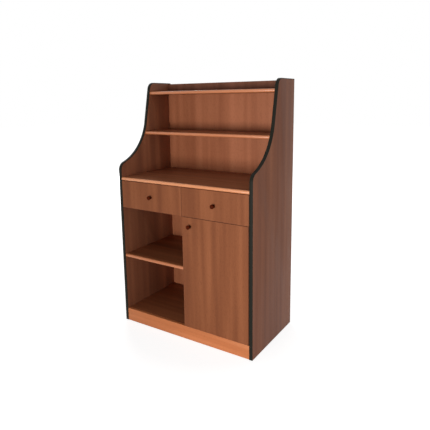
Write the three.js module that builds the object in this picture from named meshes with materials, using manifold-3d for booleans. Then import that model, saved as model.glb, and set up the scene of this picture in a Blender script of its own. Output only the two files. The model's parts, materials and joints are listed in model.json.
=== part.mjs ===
// Waiter service station: a laminated board cabinet with a hutch of shelves, two drawers,
// an open niche with a shelf and a cupboard with one door.
// Millimetres, +Z up, front towards -Y, +X to the right of someone facing the front.
// The origin is on the floor, under the middle of the box that holds the cabinet and its knobs.
import * as THREE from 'three';
import { mergeVertices } from 'three/addons/utils/BufferGeometryUtils.js';
import Module from 'manifold-3d';

const wasm = await Module();
wasm.setup();

// Overall sizes
const WIDTH = 880;
const DEPTH = 486;
const HEIGHT = 1440;

// Boards and trim
const BOARD = 19;
const BACK_BOARD = 16;
const BACK_RECESS = 8;
const BACK_DROP = 6;
const BACK_FOOT = 20;
const BAND = 3;
const LIPPING = 14;
const SEAT = 0.3;

// Heights of the carcass: from the floor, above the worktop and below the top of the sides
const PLINTH_TOP = 80;
const NICHE_SHELF_TOP = 427;
const CUPBOARD_SHELF_TOP = 400;
const WORKTOP_TOP = 895;
const MIDDLE_SHELF_RISE = 252;
const TOP_SHELF_DROP = 54;

// Front edge of the sides: upright, round corner, hollow sweep, leaning edge, round top corner
const CORNER_RISE = 40;
const CORNER_RADIUS = 48;
const SWEEP_RADIUS = 300;
const LEAN = THREE.MathUtils.degToRad(11.4);
const TOP_DEPTH = 201;
const TOP_RADIUS = 45;
const ARC_STEPS = 12;

// Setbacks of what stands between the sides
const PLINTH_SETBACK = 2;
const NICHE_SHELF_SETBACK = 4;
const HUTCH_SHELF_SETBACK = 5;
const CUPBOARD_SHELF_SETBACK = 60;
const STOP_GAP = 2;

// Fronts of the drawers and the door
const SPLIT_X = 8;
const FRONT_GAP = 2;
const TOP_GAP = 1;
const DRAWER_FRONT_HEIGHT = 158;
const DOOR_REVEAL = 1;
const HINGE_GAP = 3.5;

// Drawer boxes
const BOX_BOARD = 12;
const BOX_HEADROOM = 28;
const BOX_REAR_ROOM = 32.7;
const BOX_LIFT = 6;
const BOX_FLOOR = 5;
const FLOOR_RISE = 8;
const GROOVE_DEPTH = 5;

// Ball-bearing runners in three nested channels
const RUNNER_SPACE = 12.7;
const RUNNER_HEIGHT = 45;
const RUNNER_SHORTFALL = 10;
const RUNNER_START = 4;
const RUNNER_RISE = 46;
const RUNNER_SHEET = 1.2;
const RUNNER_PLAY = 0.5;
const RUNNER_LAP = 3;

// Knobs
const KNOB_RADIUS = 12;
const KNOB_PROJECTION = 24;
const KNOB_HEAD_HEIGHT = 14;
const KNOB_NECK_RADIUS = 5;
const KNOB_BASE_RADIUS = 8;
const KNOB_BASE_HEIGHT = 2.5;
const KNOB_FLARE = 3;
const KNOB_STEPS = 24;
const KNOB_HEAD_STEPS = 5;
const DOOR_KNOB_INSET = 50;

// Concealed hinges, seen from above: u runs in from the side's inner face, v back from the front
const HINGE_FROM_END = 95;
const CUP_TAB = 4;
const CUP_RADIUS = 17.5;
const CUP_WALL = 1;
const CUP_DEPTH = 12;
const CUP_RIM = 0.4;
const CUP_PIN_RADIUS = 1.5;
const CUP_PIN_FROM_TIP = 4.5;
const CUP_STEPS = 28;
const WING_SHEET = 1.2;
const WING_WIDTH = 20;
const WING_SPAN = 58;
const PIVOT_ASIDE = 6.2;
const PIVOT_RISE = 5.3;
const LINK_TIP_INSET = 6;
const LINK_TURN = THREE.MathUtils.degToRad(178.5);
const LINK_KNEE_SHARE = 0.33;
const LINK_KNEE_DROP = 2.6;
const LINK_SHEET = 2.5;
const LINK_WIDTH = 9;
const LINK_EYE_RADIUS = 2.8;
const LINK_TIP_RADIUS = 1.9;
const PIN_RADIUS = 1.2;
const PIN_PLAY = 0.35;
const CHEEK_SHEET = 1.5;
const CHEEK_PLAY = 0.4;
const NECK_LENGTH = 13.7;
const CRANK_LENGTH = 9;
const ARM_LENGTH = 42;
const ARM_RISE = 10.5;
const ARM_THICKNESS = 9;
const PLATE_SHEET = 2.6;
const PLATE_INSET = 2;
const PLATE_LENGTH = 32;
const PLATE_SPAN = 52;

// Glides under the sides
const GLIDE_HEIGHT = 3;
const GLIDE_RADIUS = 8;
const GLIDE_INSET = 40;
const GLIDE_STEPS = 24;

// Places worked out from the sizes above
const FRONT_Y = (KNOB_PROJECTION - DEPTH) / 2;
const REAR_Y = FRONT_Y + DEPTH;
const INNER_X = WIDTH / 2 - BOARD;
const SIDE_FOOT = GLIDE_HEIGHT + SEAT;
const BACK_FACE_Y = REAR_Y - BACK_RECESS - BACK_BOARD;
const PANEL_REAR_Y = BACK_FACE_Y - SEAT;
const FRONTS_REAR_Y = FRONT_Y + BOARD;
const INSIDE_FRONT_Y = FRONTS_REAR_Y + STOP_GAP;
const MIDDLE_SHELF_TOP = WORKTOP_TOP + MIDDLE_SHELF_RISE;
const TOP_SHELF_TOP = HEIGHT - TOP_SHELF_DROP;
const DRAWER_TOP = WORKTOP_TOP - BOARD - TOP_GAP;
const DRAWER_FOOT = DRAWER_TOP - DRAWER_FRONT_HEIGHT;
const DECK_FOOT = DRAWER_FOOT + TOP_GAP;
const DECK_TOP = DECK_FOOT + BOARD;
const DOOR_FOOT = PLINTH_TOP + FRONT_GAP;
const DOOR_TOP = DRAWER_FOOT - FRONT_GAP;
const PARTITION_X = SPLIT_X + FRONT_GAP / 2;
const DOOR_LEFT = PARTITION_X + DOOR_REVEAL;
const DOOR_RIGHT = INNER_X - HINGE_GAP;
const BOX_FOOT = DECK_TOP + BOX_LIFT;
const BOX_TOP = WORKTOP_TOP - BOARD - BOX_HEADROOM;
const BOX_FRONT_Y = FRONTS_REAR_Y + SEAT;
const BOX_REAR_Y = BACK_FACE_Y - BOX_REAR_ROOM;
const RUNNER_LENGTH = BOX_REAR_Y - BOX_FRONT_Y - RUNNER_SHORTFALL;
const RUNNER_Z = BOX_FOOT + RUNNER_RISE;
const KNOB_LENGTH = KNOB_PROJECTION - SEAT;
const CUP_U = HINGE_GAP + CUP_TAB + CUP_RADIUS;
const CUP_BOTTOM_V = BOARD - CUP_DEPTH;
const PIVOT_U = CUP_U + PIVOT_ASIDE;
const PIVOT_V = CUP_BOTTOM_V + CUP_WALL + PIVOT_RISE;
const LINK_LENGTH = PIVOT_ASIDE + CUP_RADIUS - LINK_TIP_INSET;
const NECK_END_V = PIVOT_V + NECK_LENGTH;
const ARM_START_V = NECK_END_V + CRANK_LENGTH;
const ARM_END_V = ARM_START_V + ARM_LENGTH;
const ARM_NEAR_U = ARM_RISE;
const ARM_FAR_U = ARM_RISE + ARM_THICKNESS;
const ARM_HALF_INSIDE = LINK_WIDTH / 2 + CHEEK_PLAY;
const ARM_HALF_OUTSIDE = ARM_HALF_INSIDE + CHEEK_SHEET;
const PLATE_START_V = ARM_START_V + PLATE_INSET;
const PLATE_END_V = PLATE_START_V + PLATE_LENGTH;
const HINGE_HEIGHTS = { lower: DOOR_FOOT + HINGE_FROM_END, upper: DOOR_TOP - HINGE_FROM_END };

function finish(color, roughness, metalness = 0) {
  return new THREE.MeshStandardMaterial({ color, roughness, metalness });
}

const LAMINATE = finish(0x96583a, 0.45);
const LIGHT_LAMINATE = finish(0xc9723f, 0.4);
const BLACK_EDGE = finish(0x20211b, 0.5);
const BOX_LAMINATE = finish(0xd9d4c8, 0.55);
const DARK_KNOB = finish(0x2e140c, 0.35);
const ZINC = finish(0xb4b6b8, 0.35, 0.9);
const GLIDE_PLASTIC = finish(0x2b2b2b, 0.6);

const MERGE_DISTANCE = 1e-4;
const AXIS_X = new THREE.Vector3(1, 0, 0);
const AXIS_Y = new THREE.Vector3(0, 1, 0);
const AXIS_Z = new THREE.Vector3(0, 0, 1);

// Geometry that one closed solid is made of, and back again, for joins and cuts
function toSolid(geometry) {
  const bare = geometry.clone();
  bare.deleteAttribute('normal');
  bare.deleteAttribute('uv');
  const merged = mergeVertices(bare, MERGE_DISTANCE);
  return new wasm.Manifold(new wasm.Mesh({
    numProp: 3,
    vertProperties: new Float32Array(merged.attributes.position.array),
    triVerts: new Uint32Array(merged.index.array),
  }));
}

function toGeometry(solid) {
  const mesh = solid.getMesh();
  const geometry = new THREE.BufferGeometry();
  geometry.setAttribute('position', new THREE.BufferAttribute(new Float32Array(mesh.vertProperties), 3));
  geometry.setIndex(new THREE.BufferAttribute(new Uint32Array(mesh.triVerts), 1));
  geometry.computeVertexNormals();
  return geometry;
}

function join(geometries) {
  return toGeometry(geometries.map(toSolid).reduce((whole, next) => whole.add(next)));
}

function common(geometry, other) {
  return toGeometry(toSolid(geometry).intersect(toSolid(other)));
}

function cut(geometry, tools) {
  return toGeometry(tools.map(toSolid).reduce((rest, tool) => rest.subtract(tool), toSolid(geometry)));
}

// A block between two opposite corners
function block([x0, x1], [y0, y1], [z0, z1]) {
  const geometry = new THREE.BoxGeometry(x1 - x0, y1 - y0, z1 - z0);
  return geometry.translate((x0 + x1) / 2, (y0 + y1) / 2, (z0 + z1) / 2);
}

function extrude(shape, depth) {
  return new THREE.ExtrudeGeometry(shape, { depth, bevelEnabled: false, curveSegments: ARC_STEPS });
}

// A section in (y, z), drawn out along +X from x0 to x1
function extrudeX(shape, x0, x1) {
  const geometry = extrude(shape, x1 - x0);
  geometry.applyMatrix4(new THREE.Matrix4().makeBasis(AXIS_Y, AXIS_Z, AXIS_X));
  return geometry.translate(x0, 0, 0);
}

// A section in (x, z), drawn out along Y from y0 to y1
function extrudeY(shape, y0, y1) {
  const geometry = extrude(shape, y1 - y0);
  geometry.applyMatrix4(new THREE.Matrix4().makeBasis(AXIS_X, AXIS_Z, AXIS_Y.clone().negate()));
  return geometry.translate(0, y1, 0);
}

// A section in (x, y), drawn out along +Z from z0 to z1
function extrudeZ(shape, z0, z1) {
  return extrude(shape, z1 - z0).translate(0, 0, z0);
}

function outline(points) {
  return new THREE.Shape(points.map(([a, b]) => new THREE.Vector2(a, b)));
}

// A turned piece: its profile is in (radius, height) and starts and ends on the axis
function turned(profile, steps) {
  return new THREE.LatheGeometry(profile.map(([r, h]) => new THREE.Vector2(r, h)), steps);
}

function mesh(name, geometry, material) {
  const piece = new THREE.Mesh(geometry, material);
  piece.name = name;
  return piece;
}

function assembly(...pieces) {
  const group = new THREE.Group();
  group.add(...pieces.flat());
  return group;
}

// The line of the sides' front edge: centres of its three arcs and the angles where they meet
function frontLine() {
  const corner = new THREE.Vector2(FRONT_Y + CORNER_RADIUS, WORKTOP_TOP + CORNER_RISE);
  const along = new THREE.Vector2(Math.sin(LEAN), Math.cos(LEAN));
  const outward = new THREE.Vector2(-Math.cos(LEAN), Math.sin(LEAN));
  const top = new THREE.Vector2(REAR_Y - TOP_DEPTH, HEIGHT);
  const reach = CORNER_RADIUS + SWEEP_RADIUS;
  const start = top.clone().addScaledVector(outward, SWEEP_RADIUS).sub(corner);
  const half = start.dot(along);
  const slide = -half + Math.sqrt(half * half - start.lengthSq() + reach * reach);
  const sweep = corner.clone().add(start).addScaledVector(along, slide);
  const drop = (TOP_RADIUS - TOP_RADIUS * outward.y) / along.y;
  const crown = top.clone().addScaledVector(along, -drop).addScaledVector(outward, -TOP_RADIUS);
  return { corner, sweep, crown, meet: sweep.clone().sub(corner).angle(), top };
}

// Where the front edge lies at a height in the hutch
function frontEdgeAt(z) {
  const { sweep, top } = frontLine();
  const leanStart = sweep.y - SWEEP_RADIUS * Math.sin(LEAN);
  if (z > leanStart) {
    return top.x - (HEIGHT - z) * Math.tan(LEAN);
  }
  return sweep.x + Math.sqrt(SWEEP_RADIUS ** 2 - (z - sweep.y) ** 2);
}

// The same line, drawn inset from the front and the top, up from the foot and back to the rear
function frontPath(inset) {
  const { corner, sweep, crown, meet } = frontLine();
  const path = new THREE.Path();
  path.moveTo(FRONT_Y + inset, SIDE_FOOT);
  path.lineTo(FRONT_Y + inset, corner.y);
  path.absarc(corner.x, corner.y, CORNER_RADIUS - inset, Math.PI, meet, true);
  path.absarc(sweep.x, sweep.y, SWEEP_RADIUS + inset, meet - Math.PI, -LEAN, false);
  path.absarc(crown.x, crown.y, TOP_RADIUS - inset, Math.PI - LEAN, Math.PI / 2, true);
  path.lineTo(REAR_Y, HEIGHT - inset);
  return path.getPoints(ARC_STEPS);
}

// Sides: a shaped board, and a black band wrapped round its front and top edges
function side(name, x0) {
  const core = new THREE.Shape([...frontPath(BAND + SEAT), new THREE.Vector2(REAR_Y, SIDE_FOOT)]);
  const band = new THREE.Shape([...frontPath(0), ...frontPath(BAND).reverse()]);
  return [
    mesh(`side_panel_${name}`, extrudeX(core, x0, x0 + BOARD), LAMINATE),
    mesh(`edge_band_${name}`, extrudeX(band, x0, x0 + BOARD), BLACK_EDGE),
  ];
}

// A board that lies flat between two uprights, and a bullnosed lipping along its front
function lippedBoard(name, [x0, x1], frontY, top) {
  const middle = top - BOARD / 2;
  const radius = BOARD / 2;
  const nose = new THREE.Shape();
  nose.moveTo(frontY + LIPPING, top);
  nose.lineTo(frontY + radius, top);
  nose.absarc(frontY + radius, middle, radius, Math.PI / 2, Math.PI * 1.5, false);
  nose.lineTo(frontY + LIPPING, top - BOARD);
  const ends = [x0 + SEAT, x1 - SEAT];
  return [
    mesh(name, block(ends, [frontY + LIPPING + SEAT, PANEL_REAR_Y], [top - BOARD, top]), LAMINATE),
    mesh(`${name}_lipping`, extrudeX(nose, ...ends), LIGHT_LAMINATE),
  ];
}

// Uprights, decks and plinth of the carcass
function carcass() {
  const across = [-INNER_X + SEAT, INNER_X - SEAT];
  const inside = [INSIDE_FRONT_Y, PANEL_REAR_Y];
  const plinthY = FRONT_Y + PLINTH_SETBACK;
  const floorFoot = PLINTH_TOP - BOARD;
  const partition = [PARTITION_X, PARTITION_X + BOARD];
  const cupboardShelf = [PARTITION_X + BOARD + SEAT, INNER_X - SEAT];
  const cupboardFront = INSIDE_FRONT_Y + CUPBOARD_SHELF_SETBACK;
  const hutchFront = (top) => frontEdgeAt(top - BOARD / 2) + HUTCH_SHELF_SETBACK;
  return assembly(
    side('left', -WIDTH / 2),
    side('right', INNER_X),
    mesh('back_panel', block(
      across, [BACK_FACE_Y, BACK_FACE_Y + BACK_BOARD], [BACK_FOOT, HEIGHT - BACK_DROP]), LAMINATE),
    lippedBoard('worktop', [-INNER_X, INNER_X], FRONT_Y, WORKTOP_TOP),
    lippedBoard('middle_shelf', [-INNER_X, INNER_X], hutchFront(MIDDLE_SHELF_TOP), MIDDLE_SHELF_TOP),
    lippedBoard('top_shelf', [-INNER_X, INNER_X], hutchFront(TOP_SHELF_TOP), TOP_SHELF_TOP),
    lippedBoard('niche_shelf', [-INNER_X, PARTITION_X], FRONT_Y + NICHE_SHELF_SETBACK, NICHE_SHELF_TOP),
    mesh('cupboard_shelf', block(
      cupboardShelf, [cupboardFront, PANEL_REAR_Y], [CUPBOARD_SHELF_TOP - BOARD, CUPBOARD_SHELF_TOP]),
    LAMINATE),
    mesh('plinth_front', block(
      across, [plinthY, plinthY + BOARD], [SIDE_FOOT, PLINTH_TOP]), LIGHT_LAMINATE),
    mesh('plinth_rear', block(
      across, [PANEL_REAR_Y - BOARD, PANEL_REAR_Y], [SIDE_FOOT, floorFoot - SEAT]), LAMINATE),
    mesh('bottom_panel', block(
      across, [plinthY + BOARD + SEAT, PANEL_REAR_Y], [floorFoot, PLINTH_TOP]), LAMINATE),
    mesh('partition', block(partition, inside, [PLINTH_TOP + SEAT, DECK_FOOT - SEAT]), LAMINATE),
    mesh('drawer_deck', block(across, inside, [DECK_FOOT, DECK_TOP]), LAMINATE),
    mesh('drawer_divider', block(
      [SPLIT_X - BOARD / 2, SPLIT_X + BOARD / 2], inside,
      [DECK_TOP + SEAT, WORKTOP_TOP - BOARD - SEAT]), LAMINATE),
    glides(),
  );
}

function glides() {
  const profile = [[0, 0], [GLIDE_RADIUS, 0], [GLIDE_RADIUS, GLIDE_HEIGHT], [0, GLIDE_HEIGHT]];
  const pieces = [];
  const places = { front: FRONT_Y + GLIDE_INSET, rear: REAR_Y - GLIDE_INSET };
  for (const [sideName, sign] of [['left', -1], ['right', 1]]) {
    for (const [endName, y] of Object.entries(places)) {
      const glide = mesh(`glide_${endName}_${sideName}`, turned(profile, GLIDE_STEPS), GLIDE_PLASTIC);
      glide.rotation.x = Math.PI / 2;
      glide.position.set(sign * (WIDTH - BOARD) / 2, y, 0);
      pieces.push(glide);
    }
  }
  return pieces;
}

// A small turned knob that stands out of a front, with its base at the origin:
// a round base that flares into the neck, and a head that is half an ellipse and more
function knob(name) {
  const headMiddle = KNOB_LENGTH - KNOB_HEAD_HEIGHT / 2;
  const neckAngle = -Math.acos(KNOB_NECK_RADIUS / KNOB_RADIUS);
  const profile = new THREE.Path();
  profile.moveTo(0, 0);
  profile.lineTo(KNOB_BASE_RADIUS, 0);
  profile.lineTo(KNOB_BASE_RADIUS, KNOB_BASE_HEIGHT);
  profile.lineTo(KNOB_NECK_RADIUS, KNOB_BASE_HEIGHT + KNOB_FLARE);
  profile.absellipse(0, headMiddle, KNOB_RADIUS, KNOB_HEAD_HEIGHT / 2, neckAngle, Math.PI / 2, false, 0);
  const points = profile.getPoints(KNOB_HEAD_STEPS);
  points[points.length - 1].x = 0;
  const piece = mesh(name, new THREE.LatheGeometry(points, KNOB_STEPS), DARK_KNOB);
  piece.rotation.x = Math.PI;
  return piece;
}

// One channel of a runner: a web and two flanges, at distances from the face that carries the runner
function channel(face, towards, web, lip, halfHeight) {
  const inner = web + Math.sign(lip - web) * RUNNER_SHEET;
  const high = halfHeight;
  const low = halfHeight - RUNNER_SHEET;
  const at = ([d, z]) => [face + towards * d, RUNNER_Z + z];
  const section = [[web, -high], [lip, -high], [lip, -low], [inner, -low],
    [inner, low], [lip, low], [lip, high], [web, high]];
  const start = FRONTS_REAR_Y + RUNNER_START;
  return extrudeY(outline(section.map(at)), start, start + RUNNER_LENGTH);
}

// The three nested channels between a carcass face and a drawer's side
function runner(drawer, end, face, towards) {
  const pitch = RUNNER_SHEET + RUNNER_PLAY;
  const high = RUNNER_HEIGHT / 2;
  const last = RUNNER_SPACE - SEAT;
  const outerLip = last - RUNNER_LAP;
  const middleLip = outerLip + pitch / 2;
  const name = (part) => `${drawer}_runner_${part}_${end}`;
  return [
    mesh(name('outer'), channel(face, towards, SEAT, outerLip, high), ZINC),
    mesh(name('middle'), channel(face, towards, SEAT + pitch, middleLip, high - pitch), ZINC),
    mesh(name('inner'), channel(face, towards, last, SEAT + 2 * pitch, high - 2 * pitch), ZINC),
  ];
}

// A drawer: front, box and knob, with its runners, in a bay between two carcass faces
function drawer(name, bay, front) {
  const [left, right] = [bay[0] + RUNNER_SPACE, bay[1] - RUNNER_SPACE];
  const boxY = [BOX_FRONT_Y, BOX_REAR_Y];
  const backY = [BOX_REAR_Y - BOX_BOARD, BOX_REAR_Y];
  const floorFoot = BOX_FOOT + FLOOR_RISE;
  const floorTop = floorFoot + BOX_FLOOR;
  const grooveX = BOX_BOARD - GROOVE_DEPTH;
  const sideSection = (x, inward) => outline([
    [0, BOX_FOOT], [BOX_BOARD, BOX_FOOT], [BOX_BOARD, floorFoot - SEAT], [grooveX, floorFoot - SEAT],
    [grooveX, floorTop + SEAT], [BOX_BOARD, floorTop + SEAT], [BOX_BOARD, BOX_TOP], [0, BOX_TOP],
  ].map(([d, z]) => [x + inward * d, z]));
  const between = [left + BOX_BOARD + SEAT, right - BOX_BOARD - SEAT];
  const floorX = [left + grooveX + SEAT, right - grooveX - SEAT];
  const handle = knob(`${name}_knob`);
  handle.position.set((front[0] + front[1]) / 2, FRONT_Y - SEAT, (DRAWER_FOOT + DRAWER_TOP) / 2);
  return assembly(
    mesh(`${name}_front`, block(front, [FRONT_Y, FRONTS_REAR_Y], [DRAWER_FOOT, DRAWER_TOP]), LAMINATE),
    mesh(`${name}_side_left`, extrudeY(sideSection(left, 1), ...boxY), BOX_LAMINATE),
    mesh(`${name}_side_right`, extrudeY(sideSection(right, -1), ...boxY), BOX_LAMINATE),
    mesh(`${name}_back`, block(between, backY, [floorTop + SEAT, BOX_TOP]), BOX_LAMINATE),
    mesh(`${name}_floor`, block(floorX, boxY, [floorFoot, floorTop]), BOX_LAMINATE),
    handle,
    runner(name, 'left', bay[0], 1),
    runner(name, 'right', bay[1], -1),
  );
}

// Hinge pieces are drawn from above in (u, v), which this turns to (x, y)
function plan([u, v]) {
  return [INNER_X - u, FRONT_Y + v];
}

function planDisc(centre, radius) {
  const [x, y] = plan(centre);
  return new THREE.Shape().absarc(x, y, radius, 0, Math.PI * 2);
}

// A straight strip of sheet from one point of the plan to another
function planStrip(from, to, thickness) {
  const a = new THREE.Vector2(...plan(from));
  const b = new THREE.Vector2(...plan(to));
  const aside = b.clone().sub(a).normalize().rotateAround(new THREE.Vector2(), Math.PI / 2);
  aside.multiplyScalar(thickness / 2);
  const corners = [a.clone().add(aside), a.clone().sub(aside), b.clone().sub(aside), b.clone().add(aside)];
  return new THREE.Shape(corners);
}

// The link's plan: from its pivot by a knee to its tip, and the cup's pin under its far limb
function linkPlan() {
  const pivot = new THREE.Vector2(PIVOT_U, PIVOT_V);
  const along = new THREE.Vector2(Math.cos(LINK_TURN), Math.sin(LINK_TURN));
  const aside = new THREE.Vector2(-along.y, along.x);
  const tip = pivot.clone().addScaledVector(along, LINK_LENGTH);
  const knee = pivot.clone().lerp(tip, LINK_KNEE_SHARE).addScaledVector(aside, LINK_KNEE_DROP);
  const limb = knee.clone().sub(tip).normalize();
  const under = new THREE.Vector2(limb.y, -limb.x);
  const cupPin = tip.clone().addScaledVector(limb, CUP_PIN_FROM_TIP);
  cupPin.addScaledVector(under, LINK_SHEET / 2 + SEAT + CUP_PIN_RADIUS);
  return { pivot, knee, tip, cupPin };
}

// The bent link that swings on the arm's pin and reaches into the cup
function hingeLink(name, z) {
  const { pivot, knee, tip } = linkPlan();
  const height = [z - LINK_WIDTH / 2, z + LINK_WIDTH / 2];
  const body = join([
    planDisc(pivot, LINK_EYE_RADIUS), planStrip(pivot, knee, LINK_SHEET), planDisc(knee, LINK_SHEET / 2),
    planStrip(knee, tip, LINK_SHEET), planDisc(tip, LINK_TIP_RADIUS),
  ].map((shape) => extrudeZ(shape, ...height)));
  const boreHeight = [z - ARM_HALF_INSIDE, z + ARM_HALF_INSIDE];
  const bore = extrudeZ(planDisc(pivot, PIN_RADIUS + PIN_PLAY), ...boreHeight);
  return mesh(name, cut(body, [bore]), ZINC);
}

// The arm: a cranked body, two cheeks at its nose and the pin between them
function hingeArm(name, z) {
  const nearU = PIVOT_U - LINK_EYE_RADIUS;
  const farU = PIVOT_U + LINK_EYE_RADIUS;
  const inner = ARM_HALF_INSIDE;
  const outer = ARM_HALF_OUTSIDE;
  const neck = outline([
    [nearU, PIVOT_V], [farU, PIVOT_V], [farU, NECK_END_V], [nearU, NECK_END_V],
  ].map(plan));
  const crank = outline([
    [farU, NECK_END_V - CHEEK_SHEET], [farU, NECK_END_V], [ARM_FAR_U, ARM_START_V + CHEEK_SHEET],
    [ARM_FAR_U, ARM_END_V], [ARM_NEAR_U, ARM_END_V], [ARM_NEAR_U, ARM_START_V],
    [nearU, NECK_END_V - CHEEK_SHEET],
  ].map(plan));
  const cheeks = [[z - outer, z - inner], [z + inner, z + outer]].flatMap((height) => [
    extrudeZ(neck, ...height), extrudeZ(planDisc([PIVOT_U, PIVOT_V], LINK_EYE_RADIUS), ...height)]);
  const pin = extrudeZ(planDisc([PIVOT_U, PIVOT_V], PIN_RADIUS), z - outer, z + outer);
  return mesh(name, join([extrudeZ(crank, z - outer, z + outer), ...cheeks, pin]), ZINC);
}

// The plate that carries the arm: two wings on the side and a block under the arm
function hingePlate(name, z) {
  const half = ARM_HALF_OUTSIDE;
  const [x1, wingY0] = plan([SEAT, PLATE_START_V]);
  const [x0, wingY1] = plan([PLATE_SHEET, PLATE_END_V]);
  const [blockX0, blockY0] = plan([ARM_NEAR_U - SEAT, ARM_START_V]);
  const blockY1 = plan([0, ARM_END_V])[1];
  return mesh(name, join([
    block([x0, x1], [wingY0, wingY1], [z - PLATE_SPAN / 2, z + PLATE_SPAN / 2]),
    block([blockX0, x1], [blockY0, blockY1], [z - half, z + half]),
  ]), ZINC);
}

// The cup let into the door's back, with a winged flange and the pin that the link lies on
function hingeCup(name, z) {
  const [x, y] = plan([CUP_U, 0]);
  const rim = BOARD + CUP_RIM;
  const well = CUP_RADIUS - CUP_WALL;
  const pot = turned([
    [0, CUP_BOTTOM_V], [CUP_RADIUS, CUP_BOTTOM_V], [CUP_RADIUS, rim], [well, rim],
    [well, CUP_BOTTOM_V + CUP_WALL], [0, CUP_BOTTOM_V + CUP_WALL],
  ], CUP_STEPS);
  const wing = new THREE.Shape();
  wing.absarc(0, (WING_SPAN - WING_WIDTH) / 2, WING_WIDTH / 2, 0, Math.PI, false);
  wing.absarc(0, -(WING_SPAN - WING_WIDTH) / 2, WING_WIDTH / 2, Math.PI, Math.PI * 2, false);
  const flange = extrudeY(wing, BOARD + SEAT, BOARD + SEAT + WING_SHEET);
  const mouthRadius = CUP_RADIUS - CUP_WALL / 2;
  const mouthEnd = BOARD + SEAT + 2 * WING_SHEET;
  const mouth = turned([
    [0, BOARD], [mouthRadius, BOARD], [mouthRadius, mouthEnd], [0, mouthEnd],
  ], CUP_STEPS);
  const { cupPin } = linkPlan();
  const pinDisc = new THREE.Shape().absarc(CUP_U - cupPin.x, cupPin.y, CUP_PIN_RADIUS, 0, Math.PI * 2);
  const pin = common(extrudeZ(pinDisc, -CUP_RADIUS, CUP_RADIUS), turned([
    [0, CUP_BOTTOM_V], [mouthRadius, CUP_BOTTOM_V], [mouthRadius, rim], [0, rim],
  ], CUP_STEPS));
  return mesh(name, join([pot, pin, cut(flange, [mouth])]).translate(x, y, z), ZINC);
}

// The door, with a round recess for each hinge cup
function door() {
  const panel = block([DOOR_LEFT, DOOR_RIGHT], [FRONT_Y, FRONTS_REAR_Y], [DOOR_FOOT, DOOR_TOP]);
  const [cupX, cupY] = plan([CUP_U, CUP_BOTTOM_V - SEAT]);
  const recess = [[0, 0], [CUP_RADIUS + SEAT, 0], [CUP_RADIUS + SEAT, BOARD], [0, BOARD]];
  const recesses = Object.values(HINGE_HEIGHTS).map(
    (z) => turned(recess, CUP_STEPS).translate(cupX, cupY, z));
  const handle = knob('door_knob');
  handle.position.set(DOOR_LEFT + DOOR_KNOB_INSET, FRONT_Y - SEAT, DOOR_TOP - DOOR_KNOB_INSET);
  const hinges = Object.entries(HINGE_HEIGHTS).flatMap(([end, z]) => [
    hingeCup(`hinge_cup_${end}`, z), hingeArm(`hinge_arm_${end}`, z),
    hingePlate(`hinge_plate_${end}`, z), hingeLink(`hinge_link_${end}`, z)]);
  return assembly(mesh('door_panel', cut(panel, recesses), LAMINATE), handle, hinges);
}

const FRONT_EDGE = INNER_X - FRONT_GAP;
const station = assembly(
  carcass(),
  drawer('drawer_left', [-INNER_X, SPLIT_X - BOARD / 2], [-FRONT_EDGE, SPLIT_X - FRONT_GAP / 2]),
  drawer('drawer_right', [SPLIT_X + BOARD / 2, INNER_X], [SPLIT_X + FRONT_GAP / 2, FRONT_EDGE]),
  door(),
);
station.name = 'waiter_service_station';

export default station;
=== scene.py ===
"""Looks of a waiter service station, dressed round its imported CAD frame.

The station is a cabinet of laminated boards: two shaped sides with a black edge band, a hutch of
shelves, a worktop, two drawers on ball-bearing runners, an open niche, and a cupboard whose door
hangs on concealed cup hinges. Metres, +Z up, front towards -Y.
"""

from __future__ import annotations

import json
import logging
import math
from collections.abc import Callable, Iterable, Sequence
from dataclasses import dataclass
from enum import Enum, IntEnum
from itertools import pairwise

import bmesh
import bpy
from mathutils import Matrix, Vector

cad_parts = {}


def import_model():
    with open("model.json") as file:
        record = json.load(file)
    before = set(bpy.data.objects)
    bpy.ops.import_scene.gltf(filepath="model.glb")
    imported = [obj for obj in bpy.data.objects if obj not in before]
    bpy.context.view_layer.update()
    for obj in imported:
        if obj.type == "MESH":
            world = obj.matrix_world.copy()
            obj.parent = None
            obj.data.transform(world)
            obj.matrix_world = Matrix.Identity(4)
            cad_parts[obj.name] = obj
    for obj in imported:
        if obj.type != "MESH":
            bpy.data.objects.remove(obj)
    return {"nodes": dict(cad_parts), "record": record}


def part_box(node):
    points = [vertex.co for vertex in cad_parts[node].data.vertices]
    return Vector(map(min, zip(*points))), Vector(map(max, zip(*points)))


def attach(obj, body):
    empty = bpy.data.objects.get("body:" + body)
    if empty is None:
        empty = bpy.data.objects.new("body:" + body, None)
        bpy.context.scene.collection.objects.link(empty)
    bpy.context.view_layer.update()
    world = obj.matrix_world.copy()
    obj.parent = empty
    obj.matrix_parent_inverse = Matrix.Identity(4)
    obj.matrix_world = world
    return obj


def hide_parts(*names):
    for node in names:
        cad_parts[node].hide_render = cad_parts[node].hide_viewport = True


Piece = bpy.types.Object
Edge = bmesh.types.BMEdge
Tree = bpy.types.NodeTree
Node = bpy.types.Node
Socket = bpy.types.NodeSocket
Colour = tuple[float, float, float, float]

log = logging.getLogger("service_station")

MM = 0.001
IMAGE_SIDE = 430
HANDS = ("left", "right")
HINGE_ENDS = ("lower", "upper")

MERGE_DISTANCE = 1e-6
WELD_DISTANCE = 1e-5
FLAT_ANGLE = math.radians(0.4)
SMOOTH_ANGLE = math.radians(32)
SHARP_ANGLE = math.radians(35)

# How far a face's normal lies along an axis: square to it, more or less so, or hardly at all.
SQUARE_ON = 0.9
MOSTLY = 0.5
HARDLY = 0.1

# Noise lies round its middle, and mostly between the other two.
NOISE_LOW = 0.3
NOISE_MIDDLE = 0.5
NOISE_HIGH = 0.7

# How far apart two boards lie in the wood, in metres: across, along and through the grain.
GRAIN_STEP = (0.531, 0.377, 0.291)


class Grain(Enum):
    """The axis that the grain runs along. The value orders the axes: across, along, through."""

    ALONG_X = (1, 0, 2)
    ALONG_Y = (0, 1, 2)
    ALONG_Z = (0, 2, 1)


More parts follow.
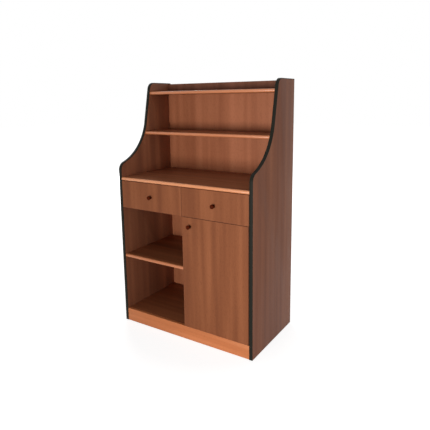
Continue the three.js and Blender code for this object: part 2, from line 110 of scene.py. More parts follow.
class Face(Enum):
    """A face of a board that lies square to an axis: that axis, and the way the face looks."""

    LEFT = (0, -1)
    RIGHT = (0, 1)
    FRONT = (1, -1)
    REAR = (1, 1)
    FOOT = (2, -1)
    HEAD = (2, 1)

    @property
    def normal(self) -> Vector:
        """The way the face looks."""
        axis, sign = self.value
        return Vector([sign if index == axis else 0 for index in range(3)])

    def inside(self, low: Vector, high: Vector, depth: float) -> Vector:
        """Find the point under the middle of this face of a box.

        Args:
            low: the box's low corner.
            high: its high corner.
            depth: how far the point lies below the face, or above it if it is negative.

        Returns:
            The point.
        """
        axis, sign = self.value
        point = (low + high) / 2
        point[axis] = (high if sign > 0 else low)[axis] - sign * depth
        return point


AROUND = (Face.LEFT, Face.RIGHT, Face.FOOT, Face.HEAD)


class Mix(IntEnum):
    """The input sockets of a mix node, whose names repeat for each kind of data."""

    SHARE = 0
    VALUE_A = 2
    VALUE_B = 3
    COLOUR_A = 6
    COLOUR_B = 7


MIXED_COLOUR = 2


def linear(colour: str) -> Colour:
    """Turn an sRGB hex colour to linear light.

    Args:
        colour: the colour as "#rrggbb".

    Returns:
        Red, green, blue and alpha, as the nodes take them.
    """
    shares = [int(colour[place:place + 2], 16) / 255 for place in (1, 3, 5)]
    red, green, blue = [s / 12.92 if s <= 0.04045 else ((s + 0.055) / 1.055) ** 2.4 for s in shares]
    return red, green, blue, 1.0


def grey(share: float) -> Colour:
    """A neutral colour that returns this share of the light."""
    return share, share, share, 1.0


def per_metre(size_mm: float) -> float:
    """How often a pattern of this size fits in a metre."""
    return 1 / (size_mm * MM)


def add_node(tree: Tree, kind: str, feeds: dict[str | int, object] | None = None,
             **settings: object) -> Node:
    """Add a node, set it up and feed its sockets.

    Args:
        tree: the tree that gets the node.
        kind: the node's type name.
        feeds: a value or another node's output for each input socket, by name or number.
        settings: the node's own properties.

    Returns:
        The new node.
    """
    made = tree.nodes.new(kind)
    for name, value in settings.items():
        setattr(made, name, value)
    for socket, value in (feeds or {}).items():
        if isinstance(value, Socket):
            tree.links.new(value, made.inputs[socket])
        else:
            made.inputs[socket].default_value = value
    return made


@dataclass(frozen=True)
class Finish:
    """What every finish has: a name, how rough it is and how strongly it mirrors."""

    name: str
    roughness: float
    specular: float = 0.5

    def material(self) -> bpy.types.Material:
        """Give the finish's material, which is made the first time that it is asked for.

        Returns:
            The material.
        """
        made = bpy.data.materials.get(self.name)
        if made is None:
            made = bpy.data.materials.new(self.name)
            made.use_nodes = True
            made.node_tree.nodes.clear()
            surface = self.surface(made.node_tree)
            add_node(made.node_tree, "ShaderNodeOutputMaterial", {"Surface": surface.outputs[0]})
        return made

    def surface(self, tree: Tree) -> Node:
        """Build the shader in an empty tree and return it."""
        raise NotImplementedError


@dataclass(frozen=True)
class WoodFinish(Finish):
    """Printed cherry laminate, or stained solid wood, with a satin lacquer.

    The eye gets broad bands of lighter and darker wood along the grain, narrower streaks in them,
    fine fibre, and short dark pores that also dent the lacquer a little. Fibre and pores are drawn
    coarser than real ones, so that they show.
    """

    roughness: float = 0.48
    specular: float = 0.12
    dark: str = "#7d482f"
    base: str = "#905639"
    light: str = "#a56645"
    pore: str = "#4f2919"
    spread: float = 0.25
    band_mm: float = 48.0
    streak_mm: float = 12.0
    streak_share: float = 0.12
    fibre_mm: float = 2.4
    fibre_share: float = 0.07
    stretch: float = 24.0
    drift_mm: float = 230.0
    drift_reach_mm: float = 16.0
    drift_stretch: float = 4.0
    pore_mm: float = 1.5
    pore_stretch: float = 12.0
    pore_from: float = 0.6
    pore_to: float = 0.72
    pore_strength: float = 0.22
    pore_depth_mm: float = 0.05
    dent_strength: float = 0.6
    roughness_swing: float = 0.05

    def surface(self, tree: Tree) -> Node:
        """Build the lacquered wood.

        Args:
            tree: the material's empty tree.

        Returns:
            The shader.
        """
        place = add_node(tree, "ShaderNodeAttribute", attribute_name="grain").outputs["Vector"]
        drift = self.figure(tree, place, self.drift_mm, self.drift_stretch).outputs["Color"]
        centred = add_node(tree, "ShaderNodeVectorMath", {0: drift, 1: (NOISE_MIDDLE,) * 3},
                           operation="SUBTRACT").outputs[0]
        reach = self.drift_reach_mm * MM
        moved = add_node(tree, "ShaderNodeVectorMath", {0: centred, 1: (reach, 0, reach), 2: place},
                         operation="MULTIPLY_ADD").outputs[0]
        band = self.figure(tree, moved, self.band_mm, self.stretch).outputs["Fac"]
        streak = self.figure(tree, moved, self.streak_mm, self.stretch, detail=2.0).outputs["Fac"]
        fibre = self.figure(tree, moved, self.fibre_mm, self.stretch).outputs["Fac"]
        pores = self.figure(tree, moved, self.pore_mm, self.pore_stretch, detail=0.0).outputs["Fac"]
        tone = band
        for share, finer in ((self.streak_share, streak), (self.fibre_share, fibre)):
            tone = add_node(tree, "ShaderNodeMix", {
                Mix.SHARE: share, Mix.VALUE_A: tone, Mix.VALUE_B: finer}).outputs[0]
        lower = add_node(tree, "ShaderNodeMapRange", {
            "Value": tone, "From Min": NOISE_MIDDLE - self.spread, "From Max": NOISE_MIDDLE}).outputs[0]
        upper = add_node(tree, "ShaderNodeMapRange", {
            "Value": tone, "From Min": NOISE_MIDDLE, "From Max": NOISE_MIDDLE + self.spread}).outputs[0]
        pitted = add_node(tree, "ShaderNodeMapRange", {
            "Value": pores, "From Min": self.pore_from, "From Max": self.pore_to,
            "To Max": self.pore_strength,
        }).outputs[0]
        colour = linear(self.dark)
        for share, paint in ((lower, self.base), (upper, self.light), (pitted, self.pore)):
            colour = add_node(tree, "ShaderNodeMix", {
                Mix.SHARE: share, Mix.COLOUR_A: colour, Mix.COLOUR_B: linear(paint),
            }, data_type="RGBA").outputs[MIXED_COLOUR]
        rough = add_node(tree, "ShaderNodeMapRange", {
            "Value": streak, "From Min": NOISE_LOW, "From Max": NOISE_HIGH,
            "To Min": self.roughness - self.roughness_swing, "To Max": self.roughness + self.roughness_swing,
        }).outputs[0]
        dent = add_node(tree, "ShaderNodeBump", {
            "Height": pitted, "Strength": self.dent_strength, "Distance": self.pore_depth_mm * MM,
        }, invert=True)
        return add_node(tree, "ShaderNodeBsdfPrincipled", {
            "Base Color": colour, "Roughness": rough, "Normal": dent.outputs[0],
            "Specular IOR Level": self.specular,
        })

    def figure(self, tree: Tree, place: Socket, across_mm: float, stretch: float,
               detail: float = 1.0) -> Node:
        """Add one layer of figure, drawn out along the grain.

        Args:
            tree: the tree that gets the layer.
            place: where a point lies in the grain, in metres.
            across_mm: how wide the figure is across the grain.
            stretch: how many times longer it is along the grain.
            detail: how many finer octaves it has.

        Returns:
            The layer's noise node.
        """
        across = per_metre(across_mm)
        scaled = add_node(tree, "ShaderNodeVectorMath", {
            0: place, 1: (across, across / stretch, across)}, operation="MULTIPLY").outputs[0]
        return add_node(tree, "ShaderNodeTexNoise", {"Vector": scaled, "Scale": 1.0, "Detail": detail})


@dataclass(frozen=True)
class BeechFinish(WoodFinish):
    """Solid beech under an orange stain and a glossier lacquer, with a narrower figure than the cherry's."""

    roughness: float = 0.3
    specular: float = 0.5
    band_mm: float = 30.0
    streak_mm: float = 8.0
    fibre_mm: float = 1.8
    pore_strength: float = 0.2


@dataclass(frozen=True)
class MouldedFinish(Finish):
    """Moulded, extruded or coated plastic: one colour, a little cloudy, with a fine leathery grit.

    The grit is drawn coarser than the real one, so that it shows.
    """

    colour: str = "#20211b"
    cloud: str = "#2a2b24"
    cloud_mm: float = 30.0
    grit_mm: float = 0.9
    grit_depth_mm: float = 0.03
    dent_strength: float = 0.4
    roughness_swing: float = 0.04

    def surface(self, tree: Tree) -> Node:
        """Build the plastic.

        Args:
            tree: the material's empty tree.

        Returns:
            The shader.
        """
        place = add_node(tree, "ShaderNodeTexCoord").outputs["Object"]
        cloud = add_node(tree, "ShaderNodeTexNoise", {
            "Vector": place, "Scale": per_metre(self.cloud_mm), "Detail": 2.0}).outputs["Fac"]
        grit = add_node(tree, "ShaderNodeTexNoise", {
            "Vector": place, "Scale": per_metre(self.grit_mm), "Detail": 1.0}).outputs["Fac"]
        mixed = add_node(tree, "ShaderNodeMix", {
            Mix.SHARE: cloud, Mix.COLOUR_A: linear(self.colour), Mix.COLOUR_B: linear(self.cloud),
        }, data_type="RGBA").outputs[MIXED_COLOUR]
        rough = add_node(tree, "ShaderNodeMapRange", {
            "Value": cloud, "From Min": NOISE_LOW, "From Max": NOISE_HIGH,
            "To Min": self.roughness - self.roughness_swing, "To Max": self.roughness + self.roughness_swing,
        }).outputs[0]
        dent = add_node(tree, "ShaderNodeBump", {
            "Height": grit, "Strength": self.dent_strength, "Distance": self.grit_depth_mm * MM})
        return add_node(tree, "ShaderNodeBsdfPrincipled", {
            "Base Color": mixed, "Roughness": rough, "Normal": dent.outputs[0],
            "Specular IOR Level": self.specular,
        })


@dataclass(frozen=True)
class ZincFinish(Finish):
    """Zinc-plated pressed steel: a grey metal with a faint spangle and rolling lines along Y.

    The lines are drawn coarser than real ones, so that they show.
    """

    colour: str = "#a9abad"
    stain: str = "#9c9e9d"
    spangle_mm: float = 7.0
    line_mm: float = 0.7
    line_stretch: float = 40.0
    roughness_swing: float = 0.08

    def surface(self, tree: Tree) -> Node:
        """Build the metal.

        Args:
            tree: the material's empty tree.

        Returns:
            The shader.
        """
        place = add_node(tree, "ShaderNodeTexCoord").outputs["Object"]
        spangle = add_node(tree, "ShaderNodeTexVoronoi", {
            "Vector": place, "Scale": per_metre(self.spangle_mm)}).outputs["Color"]
        across = per_metre(self.line_mm)
        drawn = add_node(tree, "ShaderNodeVectorMath", {
            0: place, 1: (across, across / self.line_stretch, across)}, operation="MULTIPLY").outputs[0]
        lines = add_node(tree, "ShaderNodeTexNoise", {"Vector": drawn, "Scale": 1.0}).outputs["Fac"]
        tint = add_node(tree, "ShaderNodeMix", {
            Mix.SHARE: spangle, Mix.COLOUR_A: linear(self.colour), Mix.COLOUR_B: linear(self.stain),
        }, data_type="RGBA").outputs[MIXED_COLOUR]
        rough = add_node(tree, "ShaderNodeMapRange", {
            "Value": lines, "To Min": self.roughness - self.roughness_swing,
            "To Max": self.roughness + self.roughness_swing,
        }).outputs[0]
        return add_node(tree, "ShaderNodeBsdfPrincipled", {
            "Base Color": tint, "Roughness": rough, "Metallic": 1.0})


# The boards and fronts: a printed cherry decor under a matt lacquer, warm brown with hardly a gleam.
CHERRY = WoodFinish("cherry_laminate", dark="#7a452b", base="#8d5334", light="#a26340")
# The sides: the same decor with a structured face, which takes a broad grey sheen at a low angle.
CHERRY_SIDE = WoodFinish("cherry_side_laminate", roughness=0.65, specular=0.45)
# The worktop and the middle shelf: smoother, so that the back is faintly mirrored in them, and painted a
# little lighter than the other boards as painted light on tops that the low front lamp hardly reaches.
CHERRY_TOP_PAINTED_LIGHT = WoodFinish(
    "cherry_worktop_laminate_painted_light", roughness=0.42, specular=0.3, dark="#7f482e", base="#95593a", light="#a46545")
# The back: the decor painted lighter than the fronts, as painted light that makes up for the back lying
# further from the lamp and in the shelves' shade.
CHERRY_BACK_PAINTED_LIGHT = WoodFinish("cherry_back_laminate_painted_light", dark="#9b5c3e", base="#ac6a49", light="#ba7553")
# The header above the top shelf: a strip of the decor painted somewhat darker and greyer than the back, as
# painted shade for the part of the top shelf's shadow that the low front lamp doesn't cast.
CHERRY_HEADER_PAINTED_SHADE = WoodFinish("cherry_header_laminate_painted_shade", dark="#6f4533", base="#80523e", light="#8f5c47")
# The glued edging of the boards: thin, and a shade darker than their faces.
CHERRY_STRIP = WoodFinish(
    "cherry_edge_strip", roughness=0.46, dark="#6f3f2a", base="#855036", light="#9a5f41")
# The lippings: beech lacquered smooth, orange, with a highlight along the round.
LIPPING = BeechFinish(
    "stained_beech_lipping", dark="#c57548", base="#d38254", light="#df9064", pore="#a25f36")
# The worktop's lipping: the same beech, painted paler than the shelves' lippings, as painted light for the
# brighter highlight along the worktop's nose.
LIPPING_PAINTED_LIGHT = BeechFinish(
    "beech_lipping_painted_light", dark="#d98a5a", base="#e89866", light="#f2a676", pore="#b36d42")
# The plinth: the lippings' beech on a flat board, with less gleam.
PLINTH = BeechFinish(
    "stained_beech_plinth", roughness=0.45, specular=0.2, dark="#c17044", base="#cf7d4d", light="#dc8a5a",
    pore="#985a34")
# The drawer boxes: melamine-faced board, a warm pale grey with a hint of figure.
MELAMINE = WoodFinish(
    "pale_melamine", roughness=0.5, specular=0.4, dark="#cdc7b8", base="#d9d4c8", light="#e0dcd2",
    pore="#b9b2a2", pore_strength=0.2)
# The bands round the sides: extruded black plastic with a dull face.
EDGE_BAND = MouldedFinish("black_edge_band", roughness=0.5, specular=0.15, colour="#100f06", cloud="#17160b")
# The knobs: turned wood under a dark red-brown lacquer, which swallows most of the light.
KNOB_LACQUER = MouldedFinish(
    "dark_lacquered_knob", roughness=0.5, specular=0.03, colour="#4a1602", cloud="#571d06", cloud_mm=6.0)
# The glides: moulded black plastic, scuffed dull.
GLIDE_PLASTIC = MouldedFinish("black_glide_plastic", roughness=0.55, colour="#262626", cloud="#303030")
# The runners, hinges, pins and screws: bright enough to mirror the room softly.
ZINC = ZincFinish("zinc_plated_steel", roughness=0.34)


def select_only(piece: Piece) -> None:
    """Make a piece the one selected and active object.

    Args:
        piece: the piece to select.
    """
    bpy.ops.object.select_all(action="DESELECT")
    piece.select_set(True)
    bpy.context.view_layer.objects.active = piece


def edit(piece: Piece, *steps: Callable[[], object]) -> None:
    """Run operators on all of a piece in edit mode.

    Args:
        piece: the piece to shape.
        steps: calls that each run an operator, in order.
    """
    select_only(piece)
    bpy.ops.object.mode_set(mode="EDIT")
    bpy.ops.mesh.select_all(action="SELECT")
    for step in steps:
        step()
    bpy.ops.object.mode_set(mode="OBJECT")


def is_sharp(edge: Edge) -> bool:
    """Whether two faces meet at an edge at more than a slight angle."""
    return len(edge.link_faces) == 2 and edge.calc_face_angle() > SHARP_ANGLE


def is_outer(edge: Edge) -> bool:
    """Whether an edge is sharp and stands out, so that easing it takes something away."""
    return is_sharp(edge) and edge.is_convex


def is_band_edge(edge: Edge) -> bool:
    """Say whether an edge lies on the outside of an edge band, between its face and a flank.

    Args:
        edge: an edge of the band.

    Returns:
        Whether it lies there.
    """
    normals = [face.normal for face in edge.link_faces]
    flank = any(abs(normal.x) > SQUARE_ON for normal in normals)
    face = any(abs(normal.x) < HARDLY and (normal.y < -HARDLY or normal.z > HARDLY) for normal in normals)
    return flank and face


@dataclass(frozen=True)
class Ease:
    """How a piece's edges are rounded: how far, in how many steps, and which of them.

    A clamped round stays narrower where the faces beside it are narrow.
    """

    width_mm: float
    steps: int = 2
    wanted: Callable[[Edge], bool] = is_sharp
    clamped: bool = False

    def apply(self, piece: Piece) -> None:
        """Round the edges of a piece.

        Args:
            piece: the piece to shape.
        """
        def choose() -> None:
            """Select the wanted edges, and no others."""
            bpy.ops.mesh.select_mode(type="EDGE")
            bpy.ops.mesh.select_all(action="DESELECT")
            shape = bmesh.from_edit_mesh(piece.data)
            for edge in shape.edges:
                edge.select_set(self.wanted(edge))
            bmesh.update_edit_mesh(piece.data)

        edit(piece, choose, lambda: bpy.ops.mesh.bevel(
            offset=self.width_mm * MM, segments=self.steps, affect="EDGES", clamp_overlap=self.clamped))


def score(piece: Piece, point: Vector, normal: Vector) -> None:
    """Cut a line all round a piece where a plane meets it, without parting it."""
    edit(piece, lambda: bpy.ops.mesh.bisect(plane_co=point, plane_no=normal))


def smooth(piece: Piece) -> Piece:
    """Shade a piece smooth, apart from its sharp edges.

    Args:
        piece: the piece to shade.

    Returns:
        The same piece.
    """
    select_only(piece)
    bpy.ops.object.shade_smooth_by_angle(angle=SMOOTH_ANGLE)
    return piece


def start_block(name: str, low: Vector, high: Vector) -> Piece:
    """Add a block between two opposite corners, with its place in its mesh.

    Args:
        name: the block's name.
        low: its low corner.
        high: its high corner.

    Returns:
        The block.
    """
    bpy.ops.object.select_all(action="DESELECT")
    bpy.ops.mesh.primitive_cube_add(size=1, location=(low + high) / 2)
    piece = bpy.context.object
    piece.name = name
    piece.scale = high - low
    bpy.ops.object.transform_apply(location=True, rotation=True, scale=True)
    return piece


def turn(name: str, profile: Sequence[tuple[float, float]], sides: int) -> Piece:
    """Turn a closed piece round Z, as on a lathe.

    Args:
        name: the piece's name.
        profile: points of radius and height in metres, from the origin back to the axis.
        sides: how many sides the piece has.

    Returns:
        The turned piece.
    """
    bpy.ops.object.select_all(action="DESELECT")
    bpy.ops.mesh.primitive_plane_add(size=MM, location=(0, 0, 0))
    piece = bpy.context.object
    piece.name = name
    moves = [(b[0] - a[0], 0, b[1] - a[1]) for a, b in pairwise(profile)]

    def draw() -> None:
        """Draw the profile from one point, then spin it."""
        bpy.ops.mesh.select_mode(type="VERT")
        bpy.ops.mesh.select_all(action="SELECT")
        bpy.ops.mesh.merge(type="CENTER")
        for move in moves:
            bpy.ops.mesh.extrude_region_move(TRANSFORM_OT_translate={"value": move})
        bpy.ops.mesh.select_all(action="SELECT")
        bpy.ops.mesh.spin(steps=sides, angle=2 * math.pi, center=(0, 0, 0), axis=(0, 0, 1))
        bpy.ops.mesh.select_all(action="SELECT")
        bpy.ops.mesh.remove_doubles(threshold=MERGE_DISTANCE)
        bpy.ops.mesh.normals_make_consistent(inside=False)

    edit(piece, draw)
    return piece


def carve(piece: Piece, cutter: Piece) -> None:
    """Cut one piece out of another, and remove the cutter.

    Args:
        piece: the piece that is cut.
        cutter: the shape that is taken out of it.
    """
    select_only(piece)
    modifier = piece.modifiers.new("carve", "BOOLEAN")
    modifier.operation = "DIFFERENCE"
    modifier.solver = "EXACT"
    modifier.object = cutter
    bpy.ops.object.modifier_apply(modifier=modifier.name)
    bpy.data.objects.remove(cutter)


def place_at(piece: Piece, place: Matrix) -> Piece:
    """Move a piece's mesh to its place and keep its object at the origin.

    Args:
        piece: the piece to move.
        place: where it goes.

    Returns:
        The same piece.
    """
    piece.data.transform(place)
    piece.data.update()
    return piece


def facing(point: Vector, face: Face) -> Matrix:
    """The place of something that stands on a point and looks as a face does."""
    return Matrix.Translation(point) @ face.normal.to_track_quat("Z", "Y").to_matrix().to_4x4()


def scatter(template: Piece, name: str, places: Iterable[Matrix]) -> Piece:
    """Copy a small part to each place, each copy with its own mesh, as one piece.

    Args:
        template: the part, which stands at the origin and looks along +Z.
        name: the new piece's name.
        places: where the copies go.

    Returns:
        The piece that holds the copies.
    """
    copies = []
    for place in places:
        copy = bpy.data.objects.new(name, template.data.copy())
        bpy.context.scene.collection.objects.link(copy)
        copies.append(place_at(copy, place))
    select_only(copies[0])
    for copy in copies[1:]:
        copy.select_set(True)
    bpy.ops.object.join()
    return copies[0]


class Frame:
    """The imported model, with the body and the finish slot of each of its nodes."""

    def __init__(self) -> None:
        """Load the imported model."""
        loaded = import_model()
        record = loaded["record"]
        self.nodes: dict[str, Piece] = loaded["nodes"]
        self.body_of: dict[str, str] = {
            node: body for body, nodes in record["behaviour"]["bodies"].items() for node in nodes}
        self.slot_of: dict[str, str] = {part["node"]: part["material_slot"] for part in record["subparts"]}
        self.boards_laid = 0

    def seat(self, piece: Piece, node: str) -> None:
        """Let a piece stand for a CAD node: it rides on that node's body and hides the node.

        Args:
            piece: the dressed piece.
            node: the CAD node.
        """
        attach(piece, self.body_of[node])
        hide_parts(node)
        log.info("%s stands for %s on %s", piece.name, node, self.body_of[node])

    def fasten(self, name: str, template: Piece, places: Iterable[Matrix], body: str) -> None:
        """Add copies of a small plated part as one piece, which rides on a body.

        Args:
            name: the piece's name.
            template: the part that is copied.
            places: where the copies go.
            body: the body that carries them.
        """
        piece = scatter(template, name, places)
        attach(piece, body)
        log.info("%s rides on %s", piece.name, body)

    def copy(self, node: str) -> Piece:
        """Copy a node to a new piece, with its loose triangles merged to whole faces.

        Args:
            node: the CAD node.

        Returns:
            The copy, which has no finish yet.
        """
        piece = bpy.data.objects.new(f"{node}_piece", self.nodes[node].data.copy())
        bpy.context.scene.collection.objects.link(piece)
        piece.data.materials.clear()
        select_only(piece)
        bpy.ops.mesh.customdata_custom_splitnormals_clear()
        edit(
            piece,
            lambda: bpy.ops.mesh.remove_doubles(threshold=WELD_DISTANCE),
            lambda: bpy.ops.mesh.dissolve_limited(angle_limit=FLAT_ANGLE),
        )
        return piece

    def lay_grain(self, piece: Piece, grain: Grain) -> None:
        """Store where each point lies in the grain, so that each board is cut from another spot.

        Args:
            piece: the board.
            grain: the axis that its grain runs along.
        """
        across, along, through = grain.value
        self.boards_laid += 1
        shift = Vector(GRAIN_STEP) * self.boards_laid
        stored = piece.data.attributes.new("grain", "FLOAT_VECTOR", "POINT")
        for vertex, item in zip(piece.data.vertices, stored.data):
            place = vertex.co
            item.vector = Vector((place[across], place[along], place[through])) + shift

    def dress(self, node: str, finish: Finish, ease: Ease, grain: Grain | None = None) -> None:
        """Let a copy of a node stand for it, with its edges eased.

        Args:
            node: the CAD node.
            finish: what the piece is made of.
            ease: how its edges are rounded.
            grain: the axis that its grain runs along, if it has grain.
        """
        piece = self.copy(node)
        ease.apply(piece)
        piece.data.materials.append(finish.material())
        smooth(piece)
        if grain is not None:
            self.lay_grain(piece, grain)
        self.seat(piece, node)


@dataclass(frozen=True)
class Board:
    """A laminated board with eased edges, and a glued edging strip on the edges that show."""

    node: str
    grain: Grain
    edged: tuple[Face, ...] = ()
    finish: WoodFinish = CHERRY
    strip: WoodFinish = CHERRY_STRIP
    strip_mm: float = 1.3
    ease: Ease = Ease(0.8, steps=3)

    def shape(self) -> Piece:
        """Model the board from a block, with its edges eased and its strips marked off.

        Returns:
            The board, which has no finish yet.
        """
        low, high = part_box(self.node)
        piece = start_block(f"{self.node}_board", low, high)
        self.ease.apply(piece)
        for face in self.edged:
            score(piece, face.inside(low, high, self.strip_mm * MM), face.normal)
        return piece

    def dress(self, piece: Piece, frame: Frame) -> None:
        """Give the faces their laminate and the strips theirs, and seat the board in the frame.

        Args:
            piece: the shaped board.
            frame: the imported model.
        """
        piece.data.materials.append(self.finish.material())
        piece.data.materials.append(self.strip.material())
        low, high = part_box(self.node)
        for face in self.edged:
            line = face.inside(low, high, self.strip_mm * MM)
            for polygon in piece.data.polygons:
                if (polygon.center - line).dot(face.normal) > 0:
                    polygon.material_index = 1
        frame.lay_grain(smooth(piece), self.grain)
        frame.seat(piece, self.node)

    def build(self, frame: Frame) -> Piece:
        """Model the board, dress it and seat it.

        Args:
            frame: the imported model.

        Returns:
            The finished board.
        """
        piece = self.shape()
        self.dress(piece, frame)
        return piece


@dataclass(frozen=True)
class Sides:
    """The two shaped sides: a laminated board, and an extruded band round its front and top edges.

    The band's outer edges are rounded, and it stays square against its board.
    """

    panel_ease: Ease = Ease(0.5)
    band_round: Ease = Ease(1.8, steps=4, wanted=is_band_edge)

    def build(self, frame: Frame) -> None:
        """Build both sides, their grain upright.

        Args:
            frame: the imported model.
        """
        for hand in HANDS:
            frame.dress(f"side_panel_{hand}", CHERRY_SIDE, self.panel_ease, Grain.ALONG_Z)
            frame.dress(f"edge_band_{hand}", EDGE_BAND, self.band_round)


@dataclass(frozen=True)
class Carcass:
    """The boards between the sides, and the rounded lippings along the shelves' fronts."""

    boards: tuple[Board, ...] = (
        Board("worktop", Grain.ALONG_X, finish=CHERRY_TOP_PAINTED_LIGHT),
        Board("middle_shelf", Grain.ALONG_X, finish=CHERRY_TOP_PAINTED_LIGHT),
        Board("top_shelf", Grain.ALONG_X),
        Board("niche_shelf", Grain.ALONG_X),
        Board("cupboard_shelf", Grain.ALONG_X, (Face.FRONT,)),
        Board("plinth_front", Grain.ALONG_X, finish=PLINTH, strip=PLINTH),
        Board("plinth_rear", Grain.ALONG_X),
        Board("bottom_panel", Grain.ALONG_X),
        Board("partition", Grain.ALONG_Z, (Face.FRONT,)),
        Board("drawer_deck", Grain.ALONG_X, (Face.FRONT,)),
        Board("drawer_divider", Grain.ALONG_Z, (Face.FRONT,)),
    )
    lippings: tuple[tuple[str, WoodFinish], ...] = (
        ("worktop_lipping", LIPPING_PAINTED_LIGHT),
        ("middle_shelf_lipping", LIPPING),
        ("top_shelf_lipping", LIPPING),
        ("niche_shelf_lipping", LIPPING),
    )
    lipping_ease: Ease = Ease(0.4)

    def build(self, frame: Frame) -> None:
        """Build the boards, the back and the lippings.

        Args:
            frame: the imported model.
        """
        for board in self.boards:
            board.build(frame)
        self.back(frame)
        for node, finish in self.lippings:
            frame.dress(node, finish, self.lipping_ease, Grain.ALONG_X)

    def back(self, frame: Frame) -> None:
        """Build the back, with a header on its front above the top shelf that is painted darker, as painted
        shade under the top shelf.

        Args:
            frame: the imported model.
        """
        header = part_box("top_shelf")[1].z
        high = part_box("back_panel")[1]
        piece = Board(
            "back_panel", Grain.ALONG_Z, (Face.HEAD,), finish=CHERRY_BACK_PAINTED_LIGHT, strip=CHERRY_HEADER_PAINTED_SHADE,
            strip_mm=(high.z - header) / MM,
        ).build(frame)
        for polygon in piece.data.polygons:
            if polygon.normal.y > MOSTLY:
                polygon.material_index = 0


@dataclass(frozen=True)
class Knob:
    """A small turned and lacquered knob: a round base, a waist and a flattened ball."""

    node: str
    base_radius_mm: float = 8.0
    base_mm: float = 2.5
    base_ease_share: float = 0.3
    flare_mm: float = 3.0
    flare_steps: int = 6
    waist_radius_mm: float = 5.0
    head_mm: float = 14.0
    head_steps: int = 16
    sides: int = 48

    def profile(self, radius: float, length: float) -> list[tuple[float, float]]:
        """Draw the knob's outline, from the middle of its foot to the middle of its head.

        Args:
            radius: the head's radius in metres.
            length: the knob's length in metres.

        Returns:
            Points of radius and height in metres.
        """
        base_radius = self.base_radius_mm * MM
        base = self.base_mm * MM
        ease = base * self.base_ease_share
        points = [(0, 0), (base_radius, 0), (base_radius, base - ease), (base_radius - ease, base)]
        waist = self.waist_radius_mm * MM
        flare = self.flare_mm * MM
        for step in range(1, self.flare_steps + 1):
            angle = step / self.flare_steps * math.pi / 2
            points.append((
                waist + (base_radius - ease - waist) * (1 - math.sin(angle)),
                base + flare * (1 - math.cos(angle)),
            ))
        half = self.head_mm * MM / 2
        start = -math.acos(waist / radius)
        for step in range(self.head_steps):
            angle = start + (math.pi / 2 - start) * step / self.head_steps
            points.append((radius * math.cos(angle), length - half + half * math.sin(angle)))
        points.append((0, length))
        return points

    def build(self, frame: Frame) -> None:
        """Turn the knob and stand it on its front.

        Args:
            frame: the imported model.
        """
        low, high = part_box(self.node)
        outline = self.profile((high.x - low.x) / 2, high.y - low.y)
        piece = turn(f"{self.node}_turned", outline, self.sides)
        place_at(piece, facing(Face.REAR.inside(low, high, 0), Face.FRONT))
        piece.data.materials.append(KNOB_LACQUER.material())
        frame.seat(smooth(piece), self.node)

    def screw_place(self, front: str) -> Matrix:
        """Find where the screw that holds the knob shows on the back of its front.

        Args:
            front: the front's node.

        Returns:
            The screw's place.
        """
        point = Face.REAR.inside(*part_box(self.node), 0)
        point.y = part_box(front)[1].y
        return facing(point, Face.REAR)


@dataclass(frozen=True)
class Screw:
    """The head of a countersunk cross-head screw. The shares are of its radius and its rise."""

    radius_mm: float = 3.6
    rise_mm: float = 0.8
    rim_share: float = 0.4
    crown_radius_share: float = 0.75
    crown_share: float = 0.85
    slot_mm: float = 0.9
    slot_length_mm: float = 4.2
    slot_floor_share: float = 0.3
    slot_head_share: float = 2.0
    sides: int = 20

    def template(self) -> Piece:
        """Model one head at the origin, looking along +Z.

        Returns:
            The head.
        """
        radius = self.radius_mm * MM
        rise = self.rise_mm * MM
        crown = (radius * self.crown_radius_share, rise * self.crown_share)
        head = turn("screw_head", [(0, 0), (radius, 0), (radius, rise * self.rim_share), crown, (0, rise)],
                    self.sides)
        long = self.slot_length_mm * MM / 2
        short = self.slot_mm * MM / 2
        for x, y in ((long, short), (short, long)):
            low = Vector((-x, -y, rise * self.slot_floor_share))
            high = Vector((x, y, rise * self.slot_head_share))
            carve(head, start_block("slot", low, high))
        head.data.materials.append(ZINC.material())
        return head


@dataclass(frozen=True)
class ShelfPin:
    """A plated pin with a collar that carries a loose shelf's corner."""

    radius_mm: float = 2.5
    length_mm: float = 9.0
    tip_mm: float = 0.6
    collar_radius_mm: float = 4.0
    collar_mm: float = 1.2
    inset_mm: float = 55.0
    clearance_mm: float = 0.2
    sides: int = 20

    def template(self) -> Piece:
        """Model one pin at the origin, looking along +Z.

        Returns:
            The pin.
        """
        radius = self.radius_mm * MM
        length = self.length_mm * MM
        tip = self.tip_mm * MM
        collar = self.collar_radius_mm * MM
        thick = self.collar_mm * MM
        pin = turn("shelf_pin", [
            (0, 0), (collar, 0), (collar, thick), (radius, thick),
            (radius, length - tip), (radius - tip, length), (0, length),
        ], self.sides)
        pin.data.materials.append(ZINC.material())
        return smooth(pin)

    def places(self, shelf: str, left: float, right: float) -> list[Matrix]:
        """Find where the pins of one shelf stand.

        Args:
            shelf: the shelf's node.
            left: the face of the upright at its left end.
            right: the face of the upright at its right end.

        Returns:
            A place for each of its four pins.
        """
        low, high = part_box(shelf)
        inset = self.inset_mm * MM
        height = low.z - (self.collar_radius_mm + self.clearance_mm) * MM
        return [
            facing(Vector((x, y, height)), face)
            for x, face in ((left, Face.RIGHT), (right, Face.LEFT))
            for y in (low.y + inset, high.y - inset)
        ]


